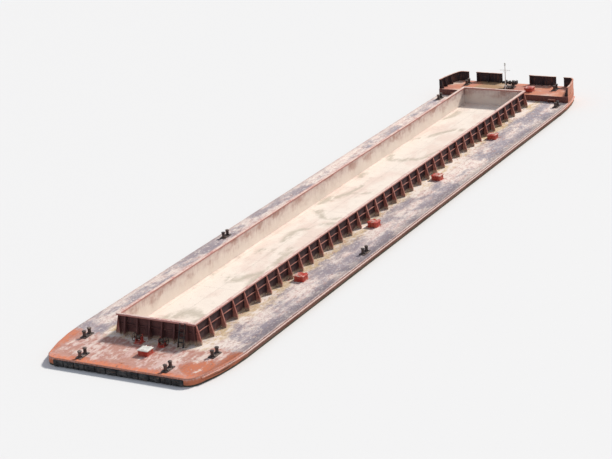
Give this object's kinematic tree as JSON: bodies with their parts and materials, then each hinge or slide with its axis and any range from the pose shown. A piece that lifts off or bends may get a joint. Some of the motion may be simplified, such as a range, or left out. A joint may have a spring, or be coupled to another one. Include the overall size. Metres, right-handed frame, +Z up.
{
  "type": "1:2 scale model of a river deck cargo barge",
  "caption": "Flat-bottomed river barge with raked ends, a long open cargo bin on wide side decks, a low forecastle with bulwark, hinged hatches, bollards, winches and a folding mast.",
  "frame": {"origin": "on the flat bottom, halfway along the hull and on its centreline, which is the bottom centre of the bounding box", "axes": "+X runs forward to the bow along the length, +Y to port, +Z up from the bottom plating"},
  "size_m": [36.15, 7.1212, 2.87],
  "materials": {
    "hull_paint": "worn red-brown hull paint with rust and a dull tide line",
    "bin_paint": "faded dark red paint, chalky and rusty",
    "forecastle_paint": "worn orange-brown deck paint with sand dust",
    "red_fittings": "faded red gloss paint, scuffed at the edges",
    "pale_paint": "dull off-white paint",
    "black_fittings": "matt black paint over steel, rusty at the edges",
    "cast_bollard": "rope-polished dark iron",
    "fender_rubber": "scuffed black rubber"
  },
  "bodies": {
    "barge": {"hull_stern": "hull_paint", "hull_midbody": "hull_paint", "hull_bow": "hull_paint", "rubbing_strake_port": "hull_paint", "rubbing_strake_starboard": "hull_paint", "skeg_port": "hull_paint", "skeg_starboard": "hull_paint", "stern_push_fender": "fender_rubber", "bow_fender": "fender_rubber", "bin_wall_port": "bin_paint", "bin_wall_starboard": "bin_paint", "bin_wall_aft": "bin_paint", "bin_wall_fore": "bin_paint", "bin_ladder": "black_fittings", "forecastle": "forecastle_paint", "bow_bulwark_port": "hull_paint", "bow_bulwark_starboard": "hull_paint", "corner_bulwark_port": "hull_paint", "corner_bulwark_starboard": "hull_paint", "bollard_quarter_port": "cast_bollard", "bollard_quarter_starboard": "cast_bollard", "bollard_stern_port": "cast_bollard", "bollard_stern_starboard": "cast_bollard", "bollard_mid_port": "cast_bollard", "bollard_mid_starboard": "cast_bollard", "bollard_fore_port": "cast_bollard", "bollard_fore_starboard": "cast_bollard", "bollard_bow_port": "cast_bollard", "bollard_bow_starboard": "cast_bollard", "hatch_coaming_port_1": "red_fittings", "hatch_coaming_port_2": "red_fittings", "hatch_coaming_port_3": "red_fittings", "hatch_coaming_port_4": "red_fittings", "hatch_coaming_starboard_1": "red_fittings", "hatch_coaming_starboard_2": "red_fittings", "hatch_coaming_starboard_3": "red_fittings", "hatch_coaming_starboard_4": "red_fittings", "hatch_coaming_stern": "red_fittings", "hatch_coaming_forepeak": "red_fittings", "windlass_stand": "black_fittings", "coupling_winch_port": "red_fittings", "coupling_winch_starboard": "red_fittings", "mast_tabernacle": "black_fittings", "anchor_roller": "black_fittings", "anchor": "black_fittings"},
    "lid_port_1": {"hatch_lid_port_1": "red_fittings"},
    "lid_port_2": {"hatch_lid_port_2": "red_fittings"},
    "lid_port_3": {"hatch_lid_port_3": "red_fittings"},
    "lid_port_4": {"hatch_lid_port_4": "red_fittings"},
    "lid_starboard_1": {"hatch_lid_starboard_1": "red_fittings"},
    "lid_starboard_2": {"hatch_lid_starboard_2": "red_fittings"},
    "lid_starboard_3": {"hatch_lid_starboard_3": "red_fittings"},
    "lid_starboard_4": {"hatch_lid_starboard_4": "red_fittings"},
    "lid_stern": {"hatch_lid_stern": "pale_paint"},
    "lid_forepeak": {"hatch_lid_forepeak": "red_fittings"},
    "windlass": {"windlass_drum": "black_fittings"},
    "winch_port": {"winch_drum_port": "black_fittings"},
    "winch_starboard": {"winch_drum_starboard": "black_fittings"},
    "mast": {"signal_mast": "pale_paint"}
  },
  "joints": [
    {"name": "lid_port_1_hinge", "type": "hinge", "parent": "barge", "child": "lid_port_1", "pos_m": [-8.555, 2.125, 1.3453], "axis": [0, 1, 0], "range_deg": [0, 110]},
    {"name": "lid_port_2_hinge", "type": "hinge", "parent": "barge", "child": "lid_port_2", "pos_m": [-2.355, 2.125, 1.3453], "axis": [0, 1, 0], "range_deg": [0, 110]},
    {"name": "lid_port_3_hinge", "type": "hinge", "parent": "barge", "child": "lid_port_3", "pos_m": [3.845, 2.125, 1.3453], "axis": [0, 1, 0], "range_deg": [0, 110]},
    {"name": "lid_port_4_hinge", "type": "hinge", "parent": "barge", "child": "lid_port_4", "pos_m": [10.045, 2.125, 1.3453], "axis": [0, 1, 0], "range_deg": [0, 110]},
    {"name": "lid_starboard_1_hinge", "type": "hinge", "parent": "barge", "child": "lid_starboard_1", "pos_m": [-8.555, -2.125, 1.3453], "axis": [0, 1, 0], "range_deg": [0, 110]},
    {"name": "lid_starboard_2_hinge", "type": "hinge", "parent": "barge", "child": "lid_starboard_2", "pos_m": [-2.355, -2.125, 1.3453], "axis": [0, 1, 0], "range_deg": [0, 110]},
    {"name": "lid_starboard_3_hinge", "type": "hinge", "parent": "barge", "child": "lid_starboard_3", "pos_m": [3.845, -2.125, 1.3453], "axis": [0, 1, 0], "range_deg": [0, 110]},
    {"name": "lid_starboard_4_hinge", "type": "hinge", "parent": "barge", "child": "lid_starboard_4", "pos_m": [10.045, -2.125, 1.3453], "axis": [0, 1, 0], "range_deg": [0, 110]},
    {"name": "lid_stern_hinge", "type": "hinge", "parent": "barge", "child": "lid_stern", "pos_m": [-16.405, -0.3, 1.3453], "axis": [0, 1, 0], "range_deg": [0, 110]},
    {"name": "lid_forepeak_hinge", "type": "hinge", "parent": "barge", "child": "lid_forepeak", "pos_m": [16.995, -1.2, 1.6453], "axis": [0, 1, 0], "range_deg": [0, 110]},
    {"name": "windlass_turn", "type": "hinge", "parent": "barge", "child": "windlass", "pos_m": [17.15, 0, 1.71], "axis": [0, 1, 0], "continuous": true},
    {"name": "winch_port_turn", "type": "hinge", "parent": "barge", "child": "winch_port", "pos_m": [-15.875, 0.475, 1.35], "axis": [0, 1, 0], "continuous": true},
    {"name": "winch_starboard_turn", "type": "hinge", "parent": "barge", "child": "winch_starboard", "pos_m": [-15.875, -0.475, 1.35], "axis": [0, 1, 0], "continuous": true},
    {"name": "mast_fold", "type": "hinge", "parent": "barge", "child": "mast", "pos_m": [16.6, 0, 1.62], "axis": [0, -1, 0], "range_deg": [0, 90]}
  ]
}
